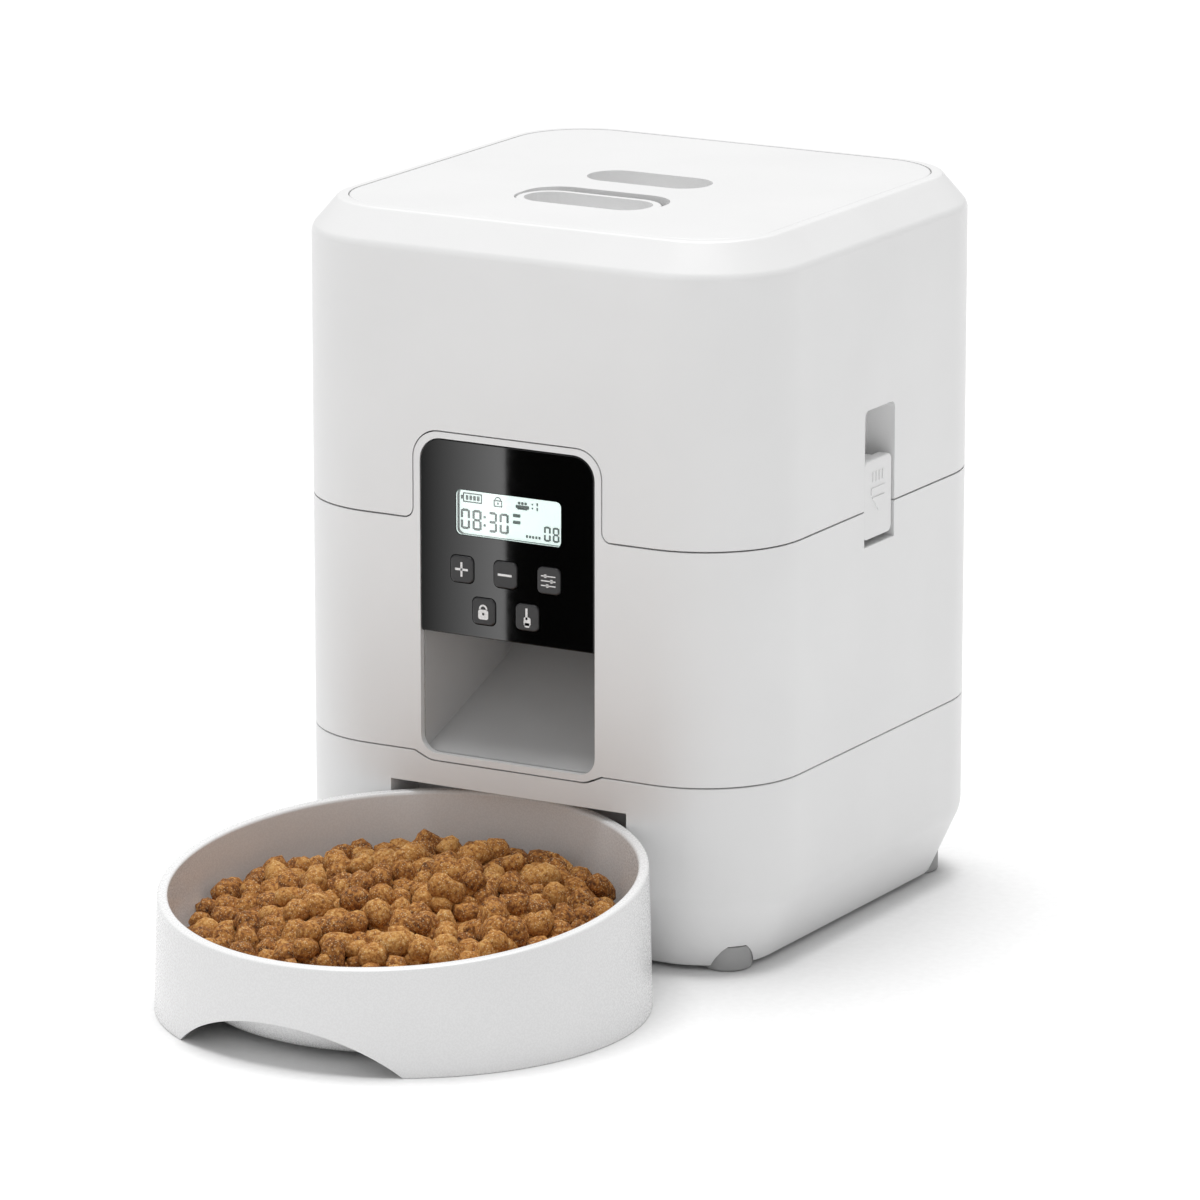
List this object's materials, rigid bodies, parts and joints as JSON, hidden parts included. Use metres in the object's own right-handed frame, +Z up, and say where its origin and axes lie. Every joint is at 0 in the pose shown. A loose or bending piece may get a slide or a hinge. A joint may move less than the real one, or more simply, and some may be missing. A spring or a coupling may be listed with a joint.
{
  "type": "automatic pet feeder",
  "caption": "Square automatic pet feeder with a hinged-lid hopper on a drive housing, a front control panel over a food outlet, and a round docked bowl.",
  "frame": {"origin": "on the floor, under the middle of the feeder and its docked bowl", "axes": "+Z up; +X to the right seen from the front; +Y from the front, where the bowl is, to the rear"},
  "size_m": [0.19, 0.3454, 0.2586],
  "materials": {
    "white_abs": "satin moulded ABS",
    "bowl_abs": "satin moulded ABS",
    "inner_abs": "moulded ABS",
    "foot_plastic": "moulded elastomer",
    "panel_black": "polished acrylic, black printed on its back",
    "lcd_clear": "clear window",
    "lcd_display": "reflective liquid crystal display",
    "button_charcoal": "moulded, satin",
    "black_nylon": "moulded nylon",
    "board": "solder mask",
    "silicone": "silicone rubber",
    "vane_rubber": "flexible vanes",
    "gear_acetal": "moulded acetal",
    "steel": "plain",
    "cell_jacket": "printed jacket"
  },
  "bodies": {
    "base": {"base_shell": "white_abs", "base_plate": "white_abs", "foot_front_left": "foot_plastic", "foot_front_right": "foot_plastic", "foot_rear_left": "foot_plastic", "foot_rear_right": "foot_plastic", "base_screw_front_left": "steel", "base_screw_front_right": "steel", "base_screw_rear_left": "steel", "base_screw_rear_right": "steel", "dc_jack": "black_nylon", "battery_1": "cell_jacket", "battery_2": "cell_jacket", "battery_3": "cell_jacket", "battery_spring_1": "steel", "battery_spring_2": "steel", "battery_spring_3": "steel", "battery_contact": "steel", "middle_housing": "white_abs", "outlet_chute": "inner_abs", "drum": "inner_abs", "shaft_bush": "gear_acetal", "gear_case": "inner_abs", "gearbox": "black_nylon", "motor": "steel", "control_panel": "panel_black", "lcd_window": "lcd_clear", "lcd_module": "lcd_display", "button_pad": "silicone", "control_board": "board"},
    "battery_door": {"battery_door": "white_abs"},
    "rotor": {"rotor": "vane_rubber", "agitator": "silicone", "rotor_shaft": "steel", "drive_gear": "gear_acetal"},
    "pinion": {"motor_pinion": "gear_acetal"},
    "button_plus": {"button_plus": "button_charcoal"},
    "button_minus": {"button_minus": "button_charcoal"},
    "button_set": {"button_set": "button_charcoal"},
    "button_lock": {"button_lock": "button_charcoal"},
    "button_feed": {"button_feed": "button_charcoal"},
    "hopper": {"hopper_shell": "white_abs", "hopper_liner": "inner_abs", "latch_spring_left": "steel", "latch_spring_right": "steel"},
    "lid": {"lid": "white_abs", "lid_tray": "inner_abs", "lid_seal": "silicone", "desiccant_box": "inner_abs", "desiccant_cap": "inner_abs", "lid_latch_spring": "steel"},
    "lid_latch": {"lid_latch": "white_abs"},
    "latch_left": {"latch_left": "white_abs"},
    "latch_right": {"latch_right": "white_abs"},
    "latch_bolt_left": {"latch_bolt_left": "gear_acetal"},
    "latch_bolt_right": {"latch_bolt_right": "gear_acetal"},
    "bowl": {"bowl": "bowl_abs"}
  },
  "joints": [
    {"name": "battery_door_hinge", "type": "hinge", "parent": "base", "child": "battery_door", "pos_m": [0, 0.06761, 0.003], "axis": [-1, 0, 0], "range_deg": [0, 75]},
    {"name": "rotor_spin", "type": "hinge", "parent": "base", "child": "rotor", "pos_m": [0, 0.08971, 0.116], "axis": [0, 0, 1], "continuous": true},
    {"name": "pinion_spin", "type": "hinge", "parent": "base", "child": "pinion", "pos_m": [0, 0.11521, 0.106], "axis": [0, 0, 1], "continuous": true},
    {"name": "button_plus_press", "type": "slide", "parent": "base", "child": "button_plus", "axis": [0, 1, 0], "range_m": [0, 0.0008], "stiffness_N_per_m": 150, "springref_m": -0.001},
    {"name": "button_minus_press", "type": "slide", "parent": "base", "child": "button_minus", "axis": [0, 1, 0], "range_m": [0, 0.0008], "stiffness_N_per_m": 150, "springref_m": -0.001},
    {"name": "button_set_press", "type": "slide", "parent": "base", "child": "button_set", "axis": [0, 1, 0], "range_m": [0, 0.0008], "stiffness_N_per_m": 150, "springref_m": -0.001},
    {"name": "button_lock_press", "type": "slide", "parent": "base", "child": "button_lock", "axis": [0, 1, 0], "range_m": [0, 0.0008], "stiffness_N_per_m": 150, "springref_m": -0.001},
    {"name": "button_feed_press", "type": "slide", "parent": "base", "child": "button_feed", "axis": [0, 1, 0], "range_m": [0, 0.0008], "stiffness_N_per_m": 150, "springref_m": -0.001},
    {"name": "hopper_lift", "type": "slide", "parent": "base", "child": "hopper", "axis": [0, 0, 1], "range_m": [0, 0.1]},
    {"name": "lid_hinge", "type": "hinge", "parent": "hopper", "child": "lid", "pos_m": [0, 0.15871, 0.2586], "axis": [-1, 0, 0], "range_deg": [0, 95]},
    {"name": "lid_latch_slide", "type": "slide", "parent": "lid", "child": "lid_latch", "axis": [0, 1, 0], "range_m": [0, 0.005], "stiffness_N_per_m": 150, "springref_m": -0.004, "deforming": ["lid_latch_spring"]},
    {"name": "latch_left_press", "type": "slide", "parent": "hopper", "child": "latch_left", "axis": [0, 0, -1], "range_m": [0, 0.0022], "stiffness_N_per_m": 300, "springref_m": -0.002, "deforming": ["latch_spring_left"]},
    {"name": "latch_bolt_left_draw", "type": "slide", "parent": "hopper", "child": "latch_bolt_left", "axis": [1, 0, 0], "range_m": [0, 0.00275]},
    {"name": "latch_right_press", "type": "slide", "parent": "hopper", "child": "latch_right", "axis": [0, 0, -1], "range_m": [0, 0.0022], "stiffness_N_per_m": 300, "springref_m": -0.002, "deforming": ["latch_spring_right"]},
    {"name": "latch_bolt_right_draw", "type": "slide", "parent": "hopper", "child": "latch_bolt_right", "axis": [-1, 0, 0], "range_m": [0, 0.00275]},
    {"name": "bowl_pull", "type": "slide", "parent": "base", "child": "bowl", "axis": [0, -1, 0], "range_m": [0, 0.1]}
  ],
  "couplings": [
    {"joint": "pinion_spin", "follows": "rotor_spin", "ratio": -2.4},
    {"joint": "latch_bolt_left_draw", "follows": "latch_left_press", "ratio": 1.25},
    {"joint": "latch_bolt_right_draw", "follows": "latch_right_press", "ratio": 1.25}
  ]
}
